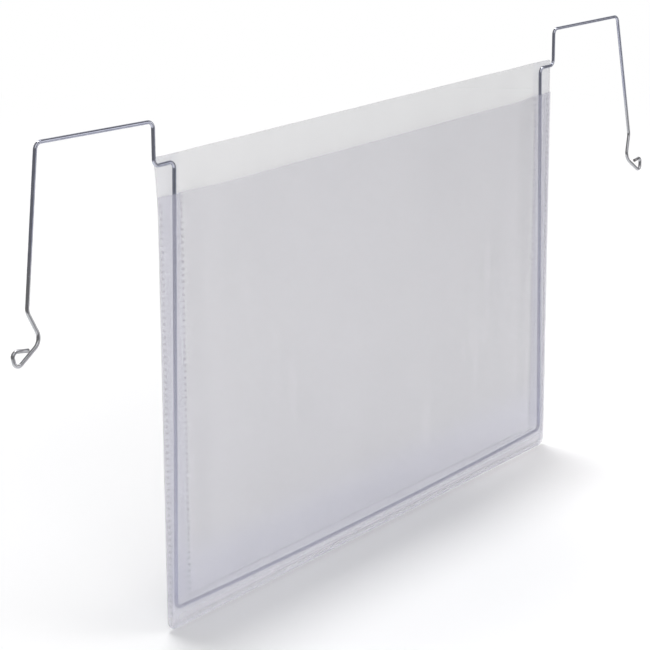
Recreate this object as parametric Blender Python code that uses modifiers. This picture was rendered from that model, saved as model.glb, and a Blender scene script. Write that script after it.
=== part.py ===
"""Hanging document pocket: two clear films welded round one bent wire frame with two open hooks.

The frame has X to the right as seen from the front, Y to the back and Z up.
The origin is midway between the hooks, at the height where their arms rest on a rail.
"""
import math

import bmesh
import bpy
from mathutils import Vector

# The sheet that the pocket is made for, in landscape, and its play in the pocket
sheet_width = 0.297
sheet_height = 0.210
sheet_side_play = 0.0055
sheet_proud = 0.0015

# Film thickness, welds and the channel between the outer and the inner weld
film_thickness = 0.0003
weld_width = 0.0011
outer_weld_inset = 0.0021
side_channel_width = 0.0139
bottom_channel_width = 0.0108
corner_radius = 0.0045
mouth_drop = 0.0178

# Wire and its running clearance to the films
wire_diameter = 0.0018
running_gap = 0.0003
channel_ramp = 0.0018

# How far each film bulges from its weld plane, how far in from the inner weld it does so,
# and how far below its straight top edge the back film starts to flatten out
front_belly = 0.0021
back_belly = 0.0021
belly_ramp = 0.0240
top_edge_fade = 0.0140

# The upper left corner, which the wire has bent back
corner_curl = 0.0021
corner_curl_width = 0.0115
corner_curl_height = 0.0300

# Wire frame: how far its legs and its bar lie inside the film's edges
leg_inset_top = 0.0113
leg_inset_bottom = 0.0056
bar_height = 0.0096
bar_sag = 0.0022
step_drop = 0.0034
step_reach = 0.0140
hook_rise = 0.0199

# Hook: the arm, then the runs of the leg and the eye, each as outward, frontward and upward lengths
arm_length = 0.0662
leg_run = (0.0109, 0.0036, -0.0696)
kink_run = (-0.0056, 0.0019, -0.0130)
slant_run = (0.0149, 0.0006, -0.0102)
lip_run = (0.0013, -0.0007, 0.0083)
tip_run = (-0.0084, 0.0011, -0.0007)

# Inner radii of the bends
frame_bend_radius = 0.0022
arm_bend_radius = 0.0026
kink_bend_radius = 0.0046
eye_bend_radius = 0.0014

# How far each hook has swung to the back out of the pocket's plane
left_hook_swing = math.radians(7.4)
right_hook_swing = math.radians(-2.9)

# Mesh fineness
bend_step = math.radians(16)
bar_runs = 10
wire_side_rings = 2
ramp_steps = 5
belly_ramp_steps = 4
corner_steps = 4
flat_columns = 6
flat_rows = 4
curl_rows = 3
fade_rows = 4

# Sizes that follow from those above
wire_radius = wire_diameter / 2
half_weld = weld_width / 2
inner_weld_inset = outer_weld_inset + side_channel_width
inner_weld_height = outer_weld_inset + bottom_channel_width
pocket_width = sheet_width + 2 * (sheet_side_play + inner_weld_inset)
pocket_height = inner_weld_height + half_weld + sheet_height - sheet_proud
half_width = pocket_width / 2
mouth_height = pocket_height - mouth_drop
step_height = pocket_height - step_drop
arm_height = step_height + hook_rise
film_base = wire_radius - arm_height
leg_top = half_width - leg_inset_top
leg_bottom = half_width - leg_inset_bottom
rise_place = leg_top + step_reach
channel_depth = wire_radius + running_gap
back_plane = channel_depth + film_thickness / 2
front_plane = channel_depth - running_gap - film_thickness / 2
hump_rise = front_plane + channel_depth + film_thickness / 2


def clear_scene():
    """Removes every object that the scene starts with."""
    for old in list(bpy.data.objects):
        bpy.data.objects.remove(old, do_unlink=True)


def make_collection(name):
    """Adds a collection to the scene."""
    made = bpy.data.collections.new(name)
    bpy.context.scene.collection.children.link(made)
    return made


def make_material(name, colour, roughness, metallic, alpha=1.0):
    """A Principled material with one colour, roughness, metallic value and opacity."""
    made = bpy.data.materials.new(name)
    made.use_nodes = True
    shader = made.node_tree.nodes["Principled BSDF"]
    shader.inputs["Base Color"].default_value = (*colour, 1.0)
    shader.inputs["Roughness"].default_value = roughness
    shader.inputs["Metallic"].default_value = metallic
    shader.inputs["Alpha"].default_value = alpha
    return made


def smooth_step(value):
    """Rises from 0 to 1 with level ends as the value goes from 0 to 1."""
    held = min(max(value, 0.0), 1.0)
    return held * held * (3.0 - 2.0 * held)


def channel_share(edge_distance, height):
    """How fully the wire channel stands open: 0 on both welds and outside them, 1 along its middle."""
    past_outer = min(edge_distance, height) - outer_weld_inset - half_weld
    before_inner = max(inner_weld_inset - edge_distance, inner_weld_height - height) - half_weld
    return smooth_step(past_outer / channel_ramp) * smooth_step(before_inner / channel_ramp)


def belly_share(edge_distance, height):
    """How fully a film bulges: 0 up to the inner weld, 1 past the belly's ramp."""
    past_side = edge_distance - inner_weld_inset - half_weld
    past_bottom = height - inner_weld_height - half_weld
    return smooth_step(past_side / belly_ramp) * smooth_step(past_bottom / belly_ramp)


def curl_depth(across, height):
    """How far the upper left corner is bent back: a square law towards the edge and towards the top."""
    side = (-across - half_width + corner_curl_width) / corner_curl_width
    rise = (height - pocket_height + corner_curl_height) / corner_curl_height
    return corner_curl * max(side, 0.0) ** 2 * max(rise, 0.0) ** 2


def back_surface(across, height):
    """Depth of the back film's middle surface, which flattens out towards its straight top edge."""
    fade = smooth_step((pocket_height - height) / top_edge_fade)
    belly = back_belly * belly_share(half_width - abs(across), height) * fade
    return back_plane + belly + curl_depth(across, height)


def front_surface(across, height):
    """Depth of the front film's middle surface, which humps over the wire."""
    edge_distance = half_width - abs(across)
    hump = hump_rise * channel_share(edge_distance, height)
    belly = front_belly * belly_share(edge_distance, height)
    return front_plane - hump - belly + curl_depth(across, height)


def ramp_places(start, length, steps):
    """Even places along a ramp, without its start."""
    return [start + length * step / steps for step in range(1, steps + 1)]


def channel_places(inner_weld):
    """Distances from the film's edge at which the channel and the belly turn."""
    outer_side = outer_weld_inset + half_weld
    inner_side = inner_weld - half_weld
    places = [0.0, outer_weld_inset - half_weld, outer_side]
    places += ramp_places(outer_side, channel_ramp, ramp_steps)
    places += [inner_side - reach for reach in reversed(ramp_places(0.0, channel_ramp, ramp_steps))]
    places += [inner_side, inner_weld + half_weld]
    places += ramp_places(inner_weld + half_weld, belly_ramp, belly_ramp_steps)
    return places


def column_places():
    """Places across the film from the left edge to the right, closer together over the channels."""
    near = channel_places(inner_weld_inset)
    left = [place - half_width for place in near]
    flat = ramp_places(left[-1], -2 * left[-1], flat_columns)[:-1]
    return left + flat + [-place for place in reversed(left)]


def row_places(top):
    """Heights of the film's rows from its lower edge to the given top."""
    turns = [math.pi / 2 * step / corner_steps for step in range(corner_steps)]
    arc = [corner_radius * (1.0 - math.cos(turn)) for turn in turns]
    near = channel_places(inner_weld_height)
    low = sorted(set(arc + [place for place in near if place > arc[-1]]))
    curl_start = pocket_height - corner_curl_height
    fade_start = min(pocket_height - top_edge_fade, top)
    flat = ramp_places(low[-1], curl_start - low[-1], flat_rows)
    curled = ramp_places(curl_start, fade_start - curl_start, curl_rows)
    faded = ramp_places(fade_start, top - fade_start, fade_rows) if top > fade_start else []
    return low + flat + curled + faded


def corner_width(height):
    """Half the film's width at a height, drawn in along the rounded lower corners."""
    below = max(corner_radius - height, 0.0)
    return half_width - corner_radius + math.sqrt(corner_radius ** 2 - below ** 2)


def make_film(name, top, surface, material, parent, collection):
    """A film as a grid whose columns and rows are moved onto its surface, given its thickness."""
    columns = column_places()
    rows = row_places(top)
    shape = bmesh.new()
    bmesh.ops.create_grid(shape, x_segments=len(columns) - 1, y_segments=len(rows) - 1, size=1.0)
    for vertex in shape.verts:
        column = round((vertex.co.x + 1.0) / 2.0 * (len(columns) - 1))
        row = round((vertex.co.y + 1.0) / 2.0 * (len(rows) - 1))
        height = rows[row]
        across = columns[column] * corner_width(height) / half_width
        vertex.co = Vector((across, surface(across, height), height))
    mesh = bpy.data.meshes.new(name)
    shape.to_mesh(mesh)
    shape.free()
    mesh.materials.append(material)
    film = bpy.data.objects.new(name, mesh)
    collection.objects.link(film)
    film.parent = parent
    wall = film.modifiers.new("thickness", "SOLIDIFY")
    wall.thickness = film_thickness
    wall.offset = 0.0
    wall.use_even_offset = True
    return film


def hook_corners(side, swing):
    """Corners of one hook from the top of its rise to its tip, each with its bend radius."""
    runs = [((arm_length, 0.0, 0.0), arm_bend_radius), (leg_run, kink_bend_radius),
            (kink_run, kink_bend_radius), (slant_run, eye_bend_radius), (lip_run, eye_bend_radius),
            (tip_run, 0.0)]
    corner = Vector((side * rise_place, 0.0, arm_height))
    corners = [(corner, frame_bend_radius)]
    for (outward, frontward, upward), radius in runs:
        across = outward * math.cos(swing) + frontward * math.sin(swing)
        back = outward * math.sin(swing) - frontward * math.cos(swing)
        corner = corner + Vector((side * across, back, upward))
        corners.append((corner, radius))
    return corners


def side_corners(side, swing):
    """Corners of one side of the frame, from the bar's end up to the hook's tip."""
    foot = Vector((side * leg_bottom, 0.0, bar_height))
    shoulder = Vector((side * leg_top, 0.0, step_height))
    step_end = Vector((side * rise_place, 0.0, step_height))
    frame = [(foot, frame_bend_radius), (shoulder, frame_bend_radius), (step_end, frame_bend_radius)]
    return frame + hook_corners(side, swing)


def bar_corners():
    """Places along the bar between its ends, which sags as a parabola."""
    corners = []
    for run in range(1, bar_runs):
        share = 2.0 * run / bar_runs - 1.0
        corners.append((Vector((share * leg_bottom, 0.0, bar_height - bar_sag * (1.0 - share ** 2))), 0.0))
    return corners


def rounded(corners):
    """A path through the corners with an arc of the wire's centre line at each bend."""
    path = [corners[0][0]]
    for before, (corner, inner_radius), after in zip(corners, corners[1:], corners[2:]):
        inward = (corner - before[0]).normalized()
        outward = (after[0] - corner).normalized()
        turn = inward.angle(outward)
        if not inner_radius:
            path.append(corner)
            continue
        radius = inner_radius + wire_radius
        start = corner - inward * radius * math.tan(turn / 2)
        sideways = (outward - inward * inward.dot(outward)).normalized()
        centre = start + sideways * radius
        steps = max(2, math.ceil(turn / bend_step))
        for step in range(steps + 1):
            angle = turn * step / steps
            path.append(centre - sideways * radius * math.cos(angle) + inward * radius * math.sin(angle))
    path.append(corners[-1][0])
    return path


def make_wire(name, path, material, collection):
    """The wire as a round tube along its path with closed ends."""
    curve = bpy.data.curves.new(name, "CURVE")
    curve.dimensions = "3D"
    curve.bevel_depth = wire_radius
    curve.bevel_resolution = wire_side_rings
    curve.use_fill_caps = True
    spline = curve.splines.new("POLY")
    spline.points.add(len(path) - 1)
    for point, place in zip(spline.points, path):
        point.co = (*place, 1.0)
    spline.use_smooth = True
    curve.materials.append(material)
    wire = bpy.data.objects.new(name, curve)
    wire.location = (0.0, 0.0, film_base)
    collection.objects.link(wire)
    return wire


def main():
    """Builds the wire frame and the two films that ride on it."""
    clear_scene()
    pocket = make_collection("hanging_document_pocket")
    steel = make_material("plated_steel_wire", (0.45, 0.45, 0.50), 0.22, 1.0)
    back_clear = make_material("clear_back_film", (0.72, 0.72, 0.76), 0.25, 0.0, 0.45)
    front_clear = make_material("clear_front_film", (0.66, 0.66, 0.72), 0.25, 0.0, 0.40)

    left = side_corners(-1, left_hook_swing)
    right = side_corners(1, right_hook_swing)
    wire_path = rounded(list(reversed(left)) + bar_corners() + right)
    make_wire("wire_frame", wire_path, steel, pocket)

    slide = bpy.data.objects.new("pocket_slide", None)
    slide.location = (0.0, 0.0, film_base)
    pocket.objects.link(slide)
    make_film("back_film", pocket_height, back_surface, back_clear, slide, pocket)
    make_film("front_film", mouth_height, front_surface, front_clear, slide, pocket)


main()
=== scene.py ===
"""Hanging document pocket, dressed: a plated wire frame with two open hooks and two clear welded films.

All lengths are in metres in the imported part's frame: X to the right, Y to the back and Z up.
The origin is midway between the hooks, at the undersides of their arms, in the wire's plane.
"""
import math

import bpy
import numpy as np
from mathutils import Matrix, Vector


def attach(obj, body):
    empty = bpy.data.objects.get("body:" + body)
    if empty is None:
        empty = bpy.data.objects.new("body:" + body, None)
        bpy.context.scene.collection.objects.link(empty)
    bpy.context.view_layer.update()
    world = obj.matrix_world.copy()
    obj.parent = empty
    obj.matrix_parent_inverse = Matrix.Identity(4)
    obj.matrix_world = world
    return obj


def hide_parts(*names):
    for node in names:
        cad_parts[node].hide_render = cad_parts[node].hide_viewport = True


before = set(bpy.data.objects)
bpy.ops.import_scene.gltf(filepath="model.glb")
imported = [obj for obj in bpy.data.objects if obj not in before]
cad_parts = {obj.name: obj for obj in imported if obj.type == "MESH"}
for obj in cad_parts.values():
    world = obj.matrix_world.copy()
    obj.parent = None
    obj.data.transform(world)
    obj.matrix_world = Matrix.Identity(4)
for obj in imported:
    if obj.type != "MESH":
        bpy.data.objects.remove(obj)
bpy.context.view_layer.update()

# Camera: where it stands, which way its right, up and back point, and how long its lens is
camera_place = (-0.93347, -0.63535, 0.17777)
camera_right = (0.58075, -0.81407, -0.00465)
camera_up = (0.21615, 0.14869, 0.96497)
camera_back = (-0.78486, -0.56141, 0.26231)
camera_lens = 127.89
camera_sensor = 36.0
camera_nearest = 0.01

# Films: outline, thickness, welds and the channel that the wire runs in
pocket_width = 0.3400
pocket_height = 0.22195
mouth_height = 0.20415
film_base = -0.23755
film_thickness = 0.0003
half_weld = 0.00055
outer_weld_inset = 0.0021
inner_weld_inset = 0.0160
inner_weld_height = 0.0129
lower_corner_radius = 0.0045
upper_corner_radius = 0.0009
back_weld_plane = 0.00050
front_weld_plane = -0.00010
back_hump = 0.00085
front_hump = 0.00115
hump_half_width = 0.0002
mouth_ease = 0.0120
film_lift = 0.0020
lip_height = 0.0009
half_width = pocket_width / 2

# Films: bulge, bent corner, weld groove and slow waves
front_belly = 0.0021
back_belly = 0.0021
panel_hump_share = 0.5
belly_ramp = 0.0240
top_edge_fade = 0.0140
flute_fade = 0.0300
flute_side_fade = 0.0200
corner_curl = 0.0021
corner_curl_width = 0.0115
corner_curl_height = 0.0300
groove_depth = 0.00006
groove_half_width = 0.00030
groove_shoulder = 0.00050
panel_wave = 0.00016
strip_wave = 0.00012

# Films: each wave's share, its lengths across and up, or across alone, and where it starts
panel_sines = ((1.0, 0.021, 0.048, 0.0), (0.7, 0.013, -0.030, 1.3), (0.5, 0.060, 0.017, 0.4))
strip_sines = ((1.0, 0.0074, 0.0), (0.6, 0.0121, 0.8))

# Films: how finely their grids are cut
weld_margin = 0.0003
edge_steps = 4
weld_steps = 5
channel_steps = 34
belly_steps = 12
panel_columns = 56
panel_rows = 44
corner_rows = 9
lip_rows = 6

# Weld dots
dot_pitch = 0.0030
dot_radius = 0.00062
dot_proud = 0.00007
dot_crown_share = 0.55
dot_sides = 8
dot_end_gap = 0.0012

# Wire frame
wire_radius = 0.0009
leg_top = 0.1587
leg_bottom = 0.1644
rise_place = 0.1727
bar_height = 0.0096
bar_sag = 0.0022
bar_level = bar_height - 0.6 * bar_sag
step_height = 0.21855
arm_height = 0.23845
frame_bend_radius = 0.0022
arm_bend_radius = 0.0026
kink_bend_radius = 0.0046
eye_bend_radius = 0.0014
# Each run of a hook, from the top of its rise to its tip: outward, to the front and upward
hook_runs = ((0.0662, 0.0, 0.0), (0.0109, 0.0036, -0.0696), (-0.0056, 0.0019, -0.0130),
             (0.0149, 0.0006, -0.0102), (0.0013, -0.0007, 0.0083), (-0.0084, 0.0011, -0.0007))
hook_bend_radii = (arm_bend_radius, kink_bend_radius, kink_bend_radius, eye_bend_radius, eye_bend_radius, 0.0)
left_hook_swing = math.radians(7.4)
right_hook_swing = math.radians(-2.9)
wire_sides = 24
bend_step = math.radians(5)
fewest_bend_steps = 3
bar_steps = 48
bend_squeeze = 0.035
cut_chamfer = 0.00018
run_step = 0.004

# Floor
floor_drop = 0.0006
floor_reach = 2.70
floor_rings = 64
floor_spokes = 96

# Colours: red, green and blue, then 1 for solid
white = (1.0, 1.0, 1.0, 1.0)
black = (0.0, 0.0, 0.0, 1.0)
plate_deep = (0.455, 0.47, 0.575, 1.0)
plate_pale = (0.535, 0.55, 0.65, 1.0)
plate_streak = (0.37, 0.385, 0.49, 1.0)
hook_grey = (0.55, 0.55, 0.565, 1.0)
burnished = (0.68, 0.68, 0.70, 1.0)
bare_steel = (0.30, 0.29, 0.29, 1.0)
floor_paint = (0.95, 0.95, 0.955, 1.0)
# warm glow painted on the floor for the camera, round the pocket's shadow
painted_floor_glow = (0.138, 0.130, 0.122, 1.0)
pale_blue_light = (0.97, 0.98, 1.0, 1.0)

# Shades of a film's tint, for all of it or for red, green and blue, and how much of some of them shows; two
# are painted light
deep_shade = 0.95
plain_shade = 1.00
# paints a highlight along the film's side edges, where they catch light
rim_highlight_shade = 1.10
milky_shade = 1.30
fused_shade = 0.80
cool_shade = (0.99, 1.00, 1.08)
border_shade = (0.94, 0.95, 1.06)
# paints bluish light scattered off the wire onto the film near it
wire_bounce_shade = (0.86, 0.90, 1.02)
dense_dot_shade = 0.70
speckle_shade = 0.60
border_share = 0.60
# how much of the painted highlight along the side edges shows
rim_highlight_share = 0.60
fused_share = 0.10
# how much of the painted light off the wire shows
wire_bounce_share = 0.35
speckle_share = 0.30

# Shares of the wire's colours
streak_share = 0.35
hook_grey_share = 0.85
burnished_share = 0.25

# Zones of the films and the dots: the distance or height at which each starts, and at which it is full
weld_zone = (0.0010, 0.0003)
# the side edges: a painted highlight, and a little more haze
rim_highlight_zone = (0.0016, 0.0004)
border_zone = (0.0010, -0.0010)
# near the wire: painted light scattered off it, and rougher film where it rubs
wire_bounce_and_rub_zone = (0.0022, 0.0006)
mouth_zone = (mouth_height, mouth_height - 0.0004)
cool_foot_zone = (0.0460, 0.0220)
hem_top_zone = (0.0160, 0.0060)
hem_foot_zone = (0.0001, 0.0011)
dense_dot_zone = (0.0100, 0.0300)

# Zones of the wire, by distance from its nearer end
hook_end_zone = (0.0740, 0.0520)
cut_zone = (0.0005, 0.00015)

# Zones of the floor, by distance from the middle; beside_zone goes by distance from the shade's middle, and
# behind_zone and dim_front_zone by distance to the back
far_zone = (0.70, 1.40)
# past_zone, beside_zone and behind_zone shape the painted glow that lightens the floor round the pocket's
# shadow
past_zone = (0.10, 0.42)
beside_zone = (0.09, 0.22)
behind_zone = (0.005, 0.070)
gone_zone = (1.00, 0.62)
dim_far_zone = (0.40, 0.80)
dim_front_zone = (-0.08, -0.25)
shade_middle = -0.06
# how much of the painted glow there is right behind the pocket
near_glow_share = 0.42
dim_front_share = 0.6

# The room that metal sees: its level, then for each light the way to it, how squarely a look must meet it to
# start and to be full, and what it adds
room_level = 0.22
room_lights = (((0.81, 0.58, 0.0), (0.58, 0.95), 0.78), ((0.60, -0.79, 0.10), (0.92, 0.965), 0.95),
               ((-0.50, -0.52, 0.69), (0.85, 0.92), 0.80))
surround_level = 0.37


# Mesh making

def smooth(value):
    """Rises from 0 to 1 with level ends, 3v^2 - 2v^3, as the value goes from 0 to 1."""
    held = np.clip(value, 0.0, 1.0)
    return held * held * (3.0 - 2.0 * held)


def spans(start, *stops):
    """Places from the start through each stop, each stretch cut into its own number of even steps."""
    places = [np.array([start])]
    for stop, steps in stops:
        places.append(np.linspace(places[-1][-1], stop, steps + 1)[1:])
    return np.concatenate(places)


def grid_faces(rows, columns, closed=False):
    """Quads of a grid of points kept row by row; a closed grid joins its last column to its first."""
    row = np.arange(rows - 1)[:, None]
    column = np.arange(columns if closed else columns - 1)[None, :]
    after = (column + 1) % columns
    corners = (row * columns + column, row * columns + after, (row + 1) * columns + after,
               (row + 1) * columns + column)
    return np.stack(np.broadcast_arrays(*corners), axis=-1).reshape(-1, 4)


def make_piece(name, points, faces, material, body, slot, *nodes):
    """A finished object at the origin from points and faces, with its finish and its body; its slot is not
    used.
    """
    mesh = bpy.data.meshes.new(name)
    mesh.from_pydata(np.asarray(points).reshape(-1, 3).tolist(), [], [list(face) for face in faces])
    mesh.update()
    mesh.shade_smooth()
    mesh.materials.append(material)
    piece = bpy.data.objects.new(name, mesh)
    bpy.context.scene.collection.objects.link(piece)
    if body:
        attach(piece, body)
    if nodes:
        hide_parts(*nodes)
    return piece


def name_places(piece, name, values):
    """Keeps one number for each point of a piece, for its finish to read."""
    held = piece.data.attributes.new(name, "FLOAT", "POINT")
    held.data.foreach_set("value", np.asarray(values, dtype=np.float32).ravel())


# Films

def edge_distance(across):
    """Distance in from the film's nearer side edge."""
    return half_width - np.abs(across)


def leg_inset(height):
    """Distance in from the film's side edge to the wire leg, a straight line from foot to shoulder."""
    climbed = np.clip((height - bar_height) / (step_height - bar_height), 0.0, 1.0)
    return half_width - leg_bottom + (leg_bottom - leg_top) * climbed


def bar_place(across):
    """Height of the wire bar over the film's lower edge: level less a parabola for its sag."""
    return bar_height - bar_sag * (1.0 - np.minimum(np.abs(across) / leg_bottom, 1.0) ** 2)


def channel_share(across, height):
    """How far the front film is lifted: smooth steps from each weld up to the wire, 1 just over the wire."""
    edge, leg, bar = edge_distance(across), leg_inset(height), bar_place(across)
    low = outer_weld_inset + half_weld
    side_end = inner_weld_inset - half_weld
    foot_end = inner_weld_height - half_weld
    past_side = (edge - low) / (leg - hump_half_width - low)
    past_foot = (height - low) / (bar - film_lift - hump_half_width - low)
    side_left = (side_end - edge) / (side_end - leg - hump_half_width)
    foot_left = (foot_end - height) / (foot_end - bar - hump_half_width)
    return smooth(np.minimum(past_side, past_foot)) * smooth(np.maximum(side_left, foot_left))


def belly_share(across, height):
    """How fully a film bulges: 0 up to the inner weld, 1 past the belly's ramp."""
    past_side = edge_distance(across) - inner_weld_inset - half_weld
    past_bottom = height - inner_weld_height - half_weld
    return smooth(past_side / belly_ramp) * smooth(past_bottom / belly_ramp)


def curl_depth(across, height):
    """How far the upper left corner is bent back: a square law towards the edge and towards the top."""
    side = np.maximum((corner_curl_width - half_width - across) / corner_curl_width, 0.0)
    rise = np.maximum((height - pocket_height + corner_curl_height) / corner_curl_height, 0.0)
    return corner_curl * side ** 2 * rise ** 2


def groove_share(across, height):
    """1 along the middle of both weld lines, 0 past their shoulders, as a smooth step of the distance."""
    edge = edge_distance(across)
    outer = np.abs(np.minimum(edge, height) - outer_weld_inset)
    inner = np.abs(np.minimum(edge - inner_weld_inset, height - inner_weld_height))
    near = np.minimum(outer, inner)
    return 1.0 - smooth((near - groove_half_width) / groove_shoulder)


def panel_waves(across, height):
    """Slow waves of the loose panel: three long sines that cross, faded out at the welds."""
    waves = sum(share * np.sin(across / wide + height / tall + first)
                for share, wide, tall, first in panel_sines)
    return panel_wave * waves * belly_share(across, height)


def back_surface(across, height):
    """Depth of the back film: its weld plane, the hump behind the wire, the belly, the flutes, the curl."""
    bulge = belly_share(across, height)
    top_fade = smooth((pocket_height - height) / top_edge_fade)
    unheld = (smooth((height - mouth_height + mouth_ease) / mouth_ease)
              * smooth(edge_distance(across) / leg_inset(height)))
    above = (smooth((height - mouth_height + flute_fade) / flute_fade)
             * smooth(edge_distance(across) / flute_side_fade))
    ripples = sum(share * np.sin(across / wide + first) for share, wide, first in strip_sines)
    flutes = strip_wave * ripples * above
    hump = back_hump * np.maximum(np.maximum(channel_share(across, height), unheld), bulge)
    loose = (back_belly * bulge + panel_waves(across, height)) * top_fade
    return back_weld_plane + hump + loose + flutes + curl_depth(across, height)


def front_surface(across, height):
    """Depth of the front film: its weld plane, the hump over the wire, the belly, the grooves, the curl."""
    bulge = belly_share(across, height)
    hump = front_hump * np.maximum(channel_share(across, height), panel_hump_share * bulge)
    groove = groove_depth * groove_share(across, height)
    waves = panel_waves(across, height)
    return front_weld_plane - hump - front_belly * bulge + groove + waves + curl_depth(across, height)


def corner_width(height, top, top_radius):
    """Half the film's width at a height, drawn in by a quarter circle at its lower and upper corners."""
    low = np.maximum(lower_corner_radius - height, 0.0)
    high = np.maximum(height - top + top_radius, 0.0)
    drawn_low = lower_corner_radius - np.sqrt(lower_corner_radius ** 2 - low ** 2)
    drawn_high = top_radius - np.sqrt(np.maximum(top_radius ** 2 - high ** 2, 0.0))
    return half_width - drawn_low - drawn_high


def channel_spans(inner_weld):
    """Places in from a film edge, close together over the welds, the channel and the start of the belly."""
    groove_start = outer_weld_inset - groove_half_width - groove_shoulder
    channel_start = outer_weld_inset + half_weld + weld_margin
    channel_end = inner_weld - half_weld - weld_margin
    belly_start = inner_weld + half_weld + weld_margin
    belly_end = inner_weld + half_weld + belly_ramp
    return spans(0.0, (groove_start, edge_steps), (outer_weld_inset, weld_steps), (channel_start, weld_steps),
                 (channel_end, channel_steps), (inner_weld, weld_steps), (belly_start, weld_steps),
                 (belly_end, belly_steps))


def film_points(top, top_radius, surface):
    """A film's points: even rows and columns of a rectangle, drawn in at its corners, then its surface."""
    near = channel_spans(inner_weld_inset) - half_width
    across = np.concatenate([near, np.linspace(near[-1], -near[-1], panel_columns)[1:-1], -near[::-1]])
    arc = lower_corner_radius * (1.0 - np.cos(np.linspace(0.0, math.pi / 2, corner_rows)))
    low = np.unique(np.round(np.concatenate([arc, channel_spans(inner_weld_height)]), 7))
    high = top - max(top_radius, lip_height) * (1.0 - np.sin(np.linspace(0.0, math.pi / 2, lip_rows)))
    height = np.concatenate([low, np.linspace(low[-1], high[0], panel_rows)[1:-1], high])
    drawn = corner_width(height, top, top_radius)[:, None] / half_width
    x = across[None, :] * drawn
    z = np.broadcast_to(height[:, None], x.shape)
    points = np.stack([x, surface(x, z), z + film_base], axis=-1)
    return points, grid_faces(len(height), len(across))


def make_film(name, top, top_radius, surface, material, slot, node):
    """A film with its real thickness on both sides of its middle surface."""
    points, faces = film_points(top, top_radius, surface)
    film = make_piece(name, points, faces, material, "pocket", slot, node)
    wall = film.modifiers.new("thickness", "SOLIDIFY")
    wall.thickness = film_thickness
    wall.offset = 0.0
    wall.use_even_offset = True


def weld_places():
    """Middle of every weld dot: evenly along both sides and the bottom, on the outer and the inner line."""
    places = []
    for inset, height in ((outer_weld_inset, outer_weld_inset), (inner_weld_inset, inner_weld_height)):
        reach = half_width - inset
        up = np.arange(height, mouth_height - dot_end_gap, dot_pitch)
        over = np.linspace(-reach, reach, round(2 * reach / dot_pitch) + 1)[1:-1]
        places += [np.stack([np.full_like(up, side * reach), up], axis=1) for side in (-1, 1)]
        places.append(np.stack([over, np.full_like(over, height)], axis=1))
    return np.concatenate(places)


def make_weld_dots(material):
    """Fused dots: a rounded plug from face to face at each place, four rings round Y of varying radius."""
    across, height = weld_places().T
    front = front_surface(across, height) - film_thickness / 2 - dot_proud
    back = back_surface(across, height) + film_thickness / 2 + dot_proud
    depth = np.stack([front, front + dot_proud, back - dot_proud, back], axis=1)
    width = dot_radius * np.array([dot_crown_share, 1.0, 1.0, dot_crown_share])
    angle = np.arange(dot_sides) * (2 * math.pi / dot_sides)
    x = across[:, None, None] + np.cos(angle) * width[:, None]
    z = height[:, None, None] + np.sin(angle) * width[:, None] + film_base
    points = np.stack([x, np.broadcast_to(depth[:, :, None], x.shape), z], axis=-1).reshape(-1, 3)
    one = grid_faces(4, dot_sides, closed=True).tolist()
    one += [list(range(dot_sides))[::-1], list(range(3 * dot_sides, 4 * dot_sides))]
    faces = [[corner + start for corner in face]
             for start in range(0, len(points), 4 * dot_sides) for face in one]
    make_piece("weld_dots", points, faces, material, "pocket", "front_film")


# Wire

def hook_corners(side, swing):
    """Corners of one hook from the top of its rise to its tip, each with its inner bend radius."""
    corner = np.array([side * rise_place, 0.0, arm_height])
    corners = [(corner, frame_bend_radius)]
    for (outward, frontward, upward), radius in zip(hook_runs, hook_bend_radii):
        across = outward * math.cos(swing) + frontward * math.sin(swing)
        back = outward * math.sin(swing) - frontward * math.cos(swing)
        corner = corner + np.array([side * across, back, upward])
        corners.append((corner, radius))
    return corners


def side_corners(side, swing):
    """Corners of one side of the frame, from the bar's end up to the hook's tip."""
    foot = np.array([side * leg_bottom, 0.0, bar_height])
    shoulder = np.array([side * leg_top, 0.0, step_height])
    step_end = np.array([side * rise_place, 0.0, step_height])
    return [(place, frame_bend_radius) for place in (foot, shoulder, step_end)] + hook_corners(side, swing)


def bar_corners():
    """Places along the bar between its ends, which sags as a parabola."""
    share = np.linspace(-1.0, 1.0, bar_steps + 1)[1:-1]
    drop = bar_height - bar_sag * (1.0 - share ** 2)
    return [(np.array([part * leg_bottom, 0.0, low]), 0.0) for part, low in zip(share, drop)]


def wire_path():
    """Centre line of the wire with an arc at each bend, and how far each point is into a bend."""
    corners = side_corners(-1, left_hook_swing)[::-1] + bar_corners() + side_corners(1, right_hook_swing)
    path, bent = [corners[0][0][None, :]], [np.zeros(1)]
    for before, (corner, inner_radius), after in zip(corners, corners[1:], corners[2:]):
        inward = (corner - before[0]) / np.linalg.norm(corner - before[0])
        outward = (after[0] - corner) / np.linalg.norm(after[0] - corner)
        if not inner_radius:
            path.append(corner[None, :])
            bent.append(np.zeros(1))
            continue
        turn = math.acos(float(np.clip(inward @ outward, -1.0, 1.0)))
        radius = inner_radius + wire_radius
        start = corner - inward * radius * math.tan(turn / 2)
        sideways = outward - inward * (inward @ outward)
        sideways /= np.linalg.norm(sideways)
        steps = max(fewest_bend_steps, math.ceil(turn / bend_step))
        angle = np.linspace(0.0, turn, steps + 1)[:, None]
        path.append(start + sideways * radius * (1.0 - np.cos(angle)) + inward * radius * np.sin(angle))
        bent.append(np.sin(angle[:, 0] / turn * math.pi))
    path.append(corners[-1][0][None, :])
    bent.append(np.zeros(1))
    return np.concatenate(path), np.concatenate(bent)


def finer(path, bent):
    """The same path with points added at every run step, and its length at each point."""
    length = np.concatenate([[0.0], np.cumsum(np.linalg.norm(np.diff(path, axis=0), axis=1))])
    extra = np.arange(run_step, length[-1], run_step)
    gap = np.min(np.abs(extra[:, None] - length[None, :]), axis=1)
    at = np.sort(np.concatenate([length, extra[gap > run_step / 4]]))
    placed = np.stack([np.interp(at, length, path[:, axis]) for axis in range(3)], axis=1)
    return placed, np.interp(at, length, bent), at


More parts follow.
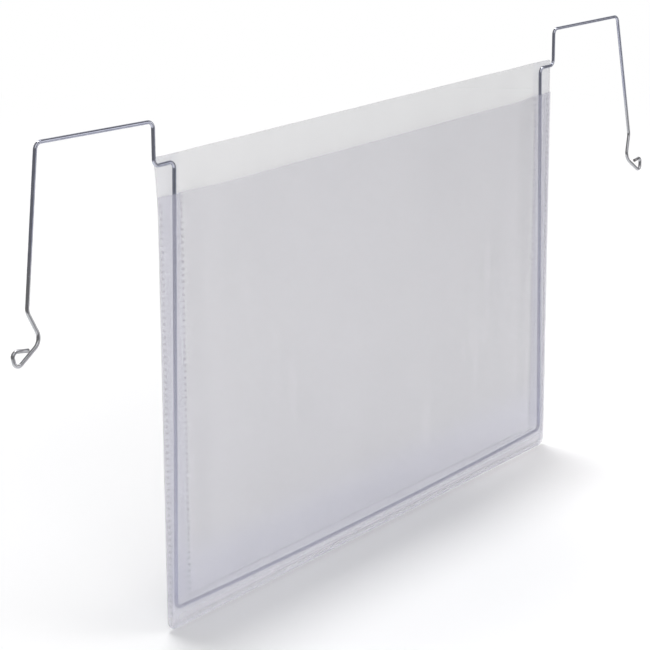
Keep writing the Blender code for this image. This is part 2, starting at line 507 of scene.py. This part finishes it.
def make_wire(material):
    """A round tube: path + r(cos a side + sin a up), a little flatter in its bends, with chamfered ends."""
    path, bent, length = finer(*wire_path())
    along = np.gradient(path, axis=0)
    along /= np.linalg.norm(along, axis=1, keepdims=True)
    side = np.cross(along, (0.0, 1.0, 0.0))
    side /= np.linalg.norm(side, axis=1, keepdims=True)
    up = np.cross(side, along)
    nose = along[0] * cut_chamfer
    tail = along[-1] * cut_chamfer
    path = np.concatenate([path[:1], path[:1] + nose, path[1:-1], path[-1:] - tail, path[-1:]])
    repeat = np.concatenate([[0], np.arange(len(side)), [len(side) - 1]])
    side, up, bent, length = side[repeat], up[repeat], bent[repeat], length[repeat]
    radius = np.full(len(path), wire_radius)
    radius[[0, -1]] -= cut_chamfer
    angle = np.arange(wire_sides) * (2 * math.pi / wire_sides)
    flat = radius * (1.0 - bend_squeeze * bent)
    proud = radius * (1.0 + bend_squeeze * bent)
    points = (path[:, None, :] + np.cos(angle)[None, :, None] * side[:, None, :] * flat[:, None, None]
              + np.sin(angle)[None, :, None] * up[:, None, :] * proud[:, None, None])
    points[..., 2] += film_base
    faces = grid_faces(len(path), wire_sides, closed=True).tolist()
    last = (len(path) - 1) * wire_sides
    faces += [list(range(wire_sides))[::-1], list(range(last, last + wire_sides))]
    wire = make_piece("hook_wire", points, faces, material, "hanger", "plated_wire", "wire_frame")
    name_places(wire, "along", np.repeat(length, wire_sides))
    name_places(wire, "around", np.tile(angle, len(path)))
    name_places(wire, "bend", np.repeat(bent, wire_sides))
    name_places(wire, "to_end", np.repeat(np.minimum(length, length[-1] - length), wire_sides))


# Finishes

class Shade:
    """A shader socket; arithmetic on it adds Math nodes beside it."""

    def __init__(self, tree, socket=None):
        self.tree = tree
        self.socket = socket

    def node(self, kind, settings=None, sockets=None, output=0):
        """Adds a node: its settings first, then its sockets' values or links."""
        made = self.tree.nodes.new(kind)
        for key, value in (settings or {}).items():
            setattr(made, key, value)
        for key, value in (sockets or {}).items():
            if isinstance(value, Shade):
                self.tree.links.new(value.socket, made.inputs[key])
            else:
                made.inputs[key].default_value = value
        return Shade(self.tree, made.outputs[output])

    def math(self, operation, *values):
        """One Math node on this socket and the other values."""
        return self.node("ShaderNodeMath", {"operation": operation}, dict(enumerate((self, *values))))

    def __add__(self, other):
        return self.math("ADD", other)

    __radd__ = __add__

    def __mul__(self, other):
        return self.math("MULTIPLY", other)

    __rmul__ = __mul__

    def __sub__(self, other):
        return self.math("SUBTRACT", other)

    def __rsub__(self, other):
        return self * -1.0 + other

    def __abs__(self):
        return self.math("ABSOLUTE")

    def least(self, other):
        """The smaller of two values."""
        return self.math("MINIMUM", other)

    def most(self, other):
        """The larger of two values."""
        return self.math("MAXIMUM", other)

    def rise(self, low, high):
        """0 at the low value and 1 at the high one, with a smooth step between; low may be the larger."""
        return self.node("ShaderNodeMapRange", {"interpolation_type": "SMOOTHSTEP"},
                         {"Value": self, "From Min": low, "From Max": high})

    def blend(self, first, second):
        """The first colour where this value is 0 and the second where it is 1."""
        return self.node("ShaderNodeMix", {"data_type": "RGBA"}, {0: self, 6: first, 7: second}, 2)

    def axes(self):
        """The three numbers of a vector."""
        split = self.node("ShaderNodeSeparateXYZ", None, {0: self}).socket.node
        return [Shade(self.tree, socket) for socket in split.outputs]

    def stretched(self, scale):
        """This vector with each axis scaled."""
        return self.node("ShaderNodeMapping", None, {"Vector": self, "Scale": scale})

    def clouds(self, scale, detail):
        """Noise from 0 to 1 at this place, with so many clouds to the metre."""
        return self.node("ShaderNodeTexNoise", None, {"Vector": self, "Scale": scale, "Detail": detail})


def new_finish(name):
    """An empty material with its Principled shader and a start for its nodes."""
    made = bpy.data.materials.new(name)
    made.use_nodes = True
    return made, made.node_tree.nodes["Principled BSDF"], Shade(made.node_tree)


def feed(shader, links=None, **fixed):
    """Sets a shader's own sockets and links what varies over the surface."""
    for key, value in fixed.items():
        shader.inputs[key.replace("_", " ")].default_value = value
    for key, value in (links or {}).items():
        value.tree.links.new(value.socket, shader.inputs[key])


def bumped(start, height, distance, strength):
    """A bump of the given height in metres."""
    return start.node("ShaderNodeBump", None, {"Height": height, "Distance": distance, "Strength": strength})


def shaded(tint, shade):
    """A tint made deeper or paler by one number, or by one for each channel, and held at white."""
    shades = shade if isinstance(shade, tuple) else (shade,) * 3
    return (*(min(channel * part, 1.0) for channel, part in zip(tint, shades)), 1.0)


def own_place(start):
    """The place on the piece, in metres."""
    return start.node("ShaderNodeTexCoord", None, None, 3)


def ray_kind(start, kind):
    """1 for looks of one kind, such as the camera's own, and 0 for the others."""
    return Shade(start.tree, start.node("ShaderNodeLightPath").socket.node.outputs[kind])


def film_finish(name, tint, haze, roughness):
    """Clear film: clouds, dimples, drawn streaks, fused welds, a cool foot, a milky hem; denser edge on."""
    finish, shader, start = new_finish(name)
    place = own_place(start)
    across, _, high = place.axes()
    height = high - film_base
    edge = half_width - abs(across)
    inside = (edge - inner_weld_inset).least(height - inner_weld_height)
    from_weld = abs(edge.least(height) - outer_weld_inset).least(abs(inside))
    weld = from_weld.rise(*weld_zone) * height.rise(*mouth_zone)
    # painted highlight along the side edges, where they catch light; they are also a little denser
    rim_highlight_and_haze = edge.rise(*rim_highlight_zone)
    border = inside.rise(*border_zone)
    hem = height.rise(*hem_top_zone) * height.rise(*hem_foot_zone)
    leg = leg_bottom - (height - bar_height) * ((leg_bottom - leg_top) / (step_height - bar_height))
    # painted tint of light scattered off the wire, making the film near it darker and bluer; the film is also
    # rougher there, where it rubs
    wire_bounce_and_rub = abs(abs(across) - leg).least(abs(height - bar_level)).rise(*wire_bounce_and_rub_zone)
    clouds = place.stretched((1.0, 1.0, 0.6)).clouds(scale=14.0, detail=3.0)
    dimples = place.stretched((1.0, 1.0, 0.5)).clouds(scale=70.0, detail=1.0)
    drawn = place.stretched((90.0, 90.0, 4.0)).clouds(scale=1.0, detail=2.0)
    steep = start.node("ShaderNodeLayerWeight", None, {"Blend": 0.5}, 1).math("POWER", 6.0)
    colour = clouds.rise(0.25, 0.75).blend(shaded(tint, deep_shade), shaded(tint, plain_shade))
    colour = height.rise(*cool_foot_zone).blend(colour, shaded(tint, cool_shade))
    colour = (border * border_share).blend(colour, shaded(tint, border_shade))
    # painted highlight along the side edges
    colour = (rim_highlight_and_haze * rim_highlight_share).blend(colour, shaded(tint, rim_highlight_shade))
    colour = hem.blend(colour, shaded(tint, milky_shade))
    colour = (weld * fused_share).blend(colour, shaded(tint, fused_shade))
    # painted light scattered off the wire
    colour = (wire_bounce_and_rub * wire_bounce_share).blend(colour, shaded(tint, wire_bounce_shade))
    rough = clouds * 0.10 + drawn * 0.06 + wire_bounce_and_rub * 0.06 + (roughness - 0.07)
    clear = haze + (clouds - 0.5) * 0.02 + (drawn - 0.5) * 0.02 + rim_highlight_and_haze * 0.01 + border * 0.02
    feed(shader, {"Base Color": colour, "Roughness": rough, "Alpha": clear + (1.0 - clear) * steep,
                  "Normal": bumped(start, dimples, distance=0.00003, strength=0.4)},
         IOR=1.46, Specular_IOR_Level=0.5)
    return finish


def dot_finish(name, tint, haze):
    """Fused dots: the films' own plastic run together, denser up the sides than along the milky hem."""
    finish, shader, start = new_finish(name)
    place = own_place(start)
    dense = (place.axes()[2] - film_base).rise(*dense_dot_zone)
    speckle = place.clouds(scale=1400.0, detail=2.0)
    colour = dense.blend(shaded(tint, plain_shade), shaded(tint, dense_dot_shade))
    colour = (speckle.rise(0.3, 0.7) * speckle_share).blend(colour, shaded(tint, speckle_shade))
    feed(shader, {"Base Color": colour, "Roughness": speckle * 0.2 + 0.2,
                  "Alpha": speckle * 0.06 + dense * 0.05 + haze}, IOR=1.46)
    return finish


def wire_finish():
    """Bright zinc plate on drawn wire: streaks along it, faint clouds, greyer hook ends, burnished bends."""
    finish, shader, start = new_finish("plated_drawn_wire")
    along, around, bend, to_end = (start.node("ShaderNodeAttribute", {"attribute_name": kept}, None, 2)
                                   for kept in ("along", "around", "bend", "to_end"))
    turned = start.node("ShaderNodeCombineXYZ", None,
                        {0: around.math("SINE"), 1: around.math("COSINE"), 2: along * 40.0})
    place = own_place(start)
    streaks = turned.stretched((7.0, 7.0, 1.0)).clouds(scale=1.0, detail=3.0)
    clouds = place.clouds(scale=220.0, detail=3.0)
    marks = place.clouds(scale=900.0, detail=2.0).rise(0.62, 0.72)
    cut = to_end.rise(*cut_zone)
    colour = clouds.rise(0.3, 0.7).blend(plate_deep, plate_pale)
    colour = (streaks.rise(0.55, 0.75) * streak_share).blend(colour, plate_streak)
    colour = (to_end.rise(*hook_end_zone) * hook_grey_share).blend(colour, hook_grey)
    colour = (bend * burnished_share).blend(colour, burnished)
    colour = cut.blend(colour, bare_steel)
    rough = 0.08 + clouds * 0.07 + streaks * 0.08 - bend * 0.03 + marks * 0.10 + cut * 0.25
    feed(shader, {"Base Color": colour, "Roughness": rough, "Metallic": 1.0 - cut * 0.2,
                  "Normal": bumped(start, streaks + marks * 0.5, distance=0.000012, strength=0.5)})
    return finish


# Studio

def floor_finish():
    """White floor that ends near the pocket, nearer for metal; the camera sees it level white far off and a
    painted glow round the shadow.
    """
    finish, shader, start = new_finish("studio_floor")
    across, depth, _ = own_place(start).axes()
    reach = (across * across + depth * depth).math("SQRT")
    aside = across - shade_middle
    beside = (aside * aside + depth * depth).math("SQRT").rise(*beside_zone)
    behind = depth.rise(*behind_zone)
    past = reach.rise(*past_zone) * (1.0 - near_glow_share) + near_glow_share
    seen = ray_kind(start, "Is Camera Ray")
    far = seen * reach.rise(*far_zone)
    # painted glow for the camera: lighter beside and behind the pocket, none at the shadow's middle in front
    painted_glow = (seen * (beside * (1.0 - behind) + behind * past)).blend(black, painted_floor_glow)
    dim = reach.rise(*dim_far_zone).most(depth.rise(*dim_front_zone) * dim_front_share)
    near = reach.rise(*gone_zone) * (1.0 - ray_kind(start, "Is Glossy Ray") * dim)
    feed(shader, {"Base Color": far.blend(floor_paint, black), "Alpha": near.most(seen),
                  "Emission Color": far.blend(painted_glow, white)},
         Roughness=0.9, Specular_IOR_Level=0.0, Emission_Strength=1.0)
    return finish


def make_floor():
    """A round floor: rings of points at even radii, the innermost one closed by a single face."""
    radius = np.linspace(0.0, floor_reach, floor_rings)[1:, None]
    angle = np.arange(floor_spokes)[None, :] * (2 * math.pi / floor_spokes)
    level = film_base - floor_drop
    x, y = radius * np.cos(angle), radius * np.sin(angle)
    rings = np.stack([x, y, np.full_like(x, level)], axis=-1)
    faces = grid_faces(floor_rings - 1, floor_spokes, closed=True)[:, ::-1].tolist()
    faces.append(list(range(floor_spokes)))
    floor = make_piece("studio_floor", rings, faces, floor_finish(), None, None)


def make_surround():
    """White for the camera and for glass; metal sees a dim room, bright behind, aside and overhead."""
    world = bpy.data.worlds.new("white_surround")
    world.use_nodes = True
    bpy.context.scene.world = world
    world.node_tree.nodes.clear()
    start = Shade(world.node_tree)
    seen = ray_kind(start, "Is Camera Ray").most(ray_kind(start, "Is Transmission Ray"))
    glossy = ray_kind(start, "Is Glossy Ray")
    toward = start.node("ShaderNodeTexCoord", None, None, 0)
    room = room_level
    for way, zone, level in room_lights:
        squarely = start.node("ShaderNodeVectorMath", {"operation": "DOT_PRODUCT"}, {0: toward, 1: way}, 1)
        room = room + squarely.rise(*zone) * level
    plain = start.node("ShaderNodeBackground", None, {"Color": white, "Strength": 1.0})
    light = start.node("ShaderNodeBackground", None, {"Color": pale_blue_light, "Strength": surround_level})
    studio = start.node("ShaderNodeBackground", None, {"Color": white, "Strength": room})
    metal = start.node("ShaderNodeMixShader", None, {0: glossy, 1: light, 2: studio})
    whole = start.node("ShaderNodeMixShader", None, {0: seen, 1: metal, 2: plain})
    output = world.node_tree.nodes.new("ShaderNodeOutputWorld")
    world.node_tree.links.new(whole.socket, output.inputs["Surface"])


def make_sun(name, azimuth, elevation, level, softness):
    """A soft lamp from a direction; its level is what it adds to a level white surface."""
    data = bpy.data.lights.new(name, "SUN")
    data.energy = level * math.pi / math.sin(math.radians(elevation))
    data.angle = math.radians(softness)
    lamp = bpy.data.objects.new(name, data)
    lamp.rotation_euler = (math.radians(90.0 - elevation), 0.0, math.radians(azimuth))
    bpy.context.scene.collection.objects.link(lamp)


def make_softbox(name, place, target, side, level):
    """A square soft lamp that metal doesn't show; its level is what it adds to white square on to it."""
    reach = Vector(target) - Vector(place)
    data = bpy.data.lights.new(name, "AREA")
    data.shape = "SQUARE"
    data.size = side
    data.energy = level * math.pi ** 2 * reach.length ** 2
    lamp = bpy.data.objects.new(name, data)
    lamp.rotation_euler = reach.to_track_quat("-Z", "Y").to_euler()
    lamp.location = place
    lamp.visible_glossy = False
    bpy.context.scene.collection.objects.link(lamp)


def make_camera():
    """The photograph's view: the camera stands to the left of the front and looks a little down."""
    data = bpy.data.cameras.new("camera")
    data.lens = camera_lens
    data.sensor_width = camera_sensor
    data.clip_start = camera_nearest
    camera = bpy.data.objects.new("camera", data)
    bpy.context.scene.collection.objects.link(camera)
    turn = Matrix((camera_right, camera_up, camera_back)).transposed()
    camera.matrix_world = Matrix.Translation(Vector(camera_place)) @ turn.to_4x4()
    bpy.context.scene.camera = camera


# Putting it together

make_camera()
back_clear = film_finish("clear_back_film", tint=(0.522, 0.518, 0.543), haze=0.245, roughness=0.30)
front_clear = film_finish("clear_front_film", tint=(0.67, 0.658, 0.712), haze=0.245, roughness=0.28)
make_film("back_film_sheet", pocket_height, upper_corner_radius, back_surface, back_clear, "back_film",
          "back_film")
make_film("front_film_sheet", mouth_height, 0.0, front_surface, front_clear, "front_film", "front_film")
make_weld_dots(dot_finish("fused_film", tint=(0.84, 0.84, 0.90), haze=0.03))
make_wire(wire_finish())
make_floor()
make_surround()
make_sun("lamp_above", azimuth=150.0, elevation=76.5, level=0.45, softness=16.0)
make_sun("lamp_front", azimuth=40.0, elevation=62.0, level=0.12, softness=28.0)
make_softbox("lamp_left", place=(-0.90, -0.92, 0.04), target=(0.0, 0.0, -0.11), side=0.5, level=0.315)
bpy.context.scene.view_settings.view_transform = "Standard"
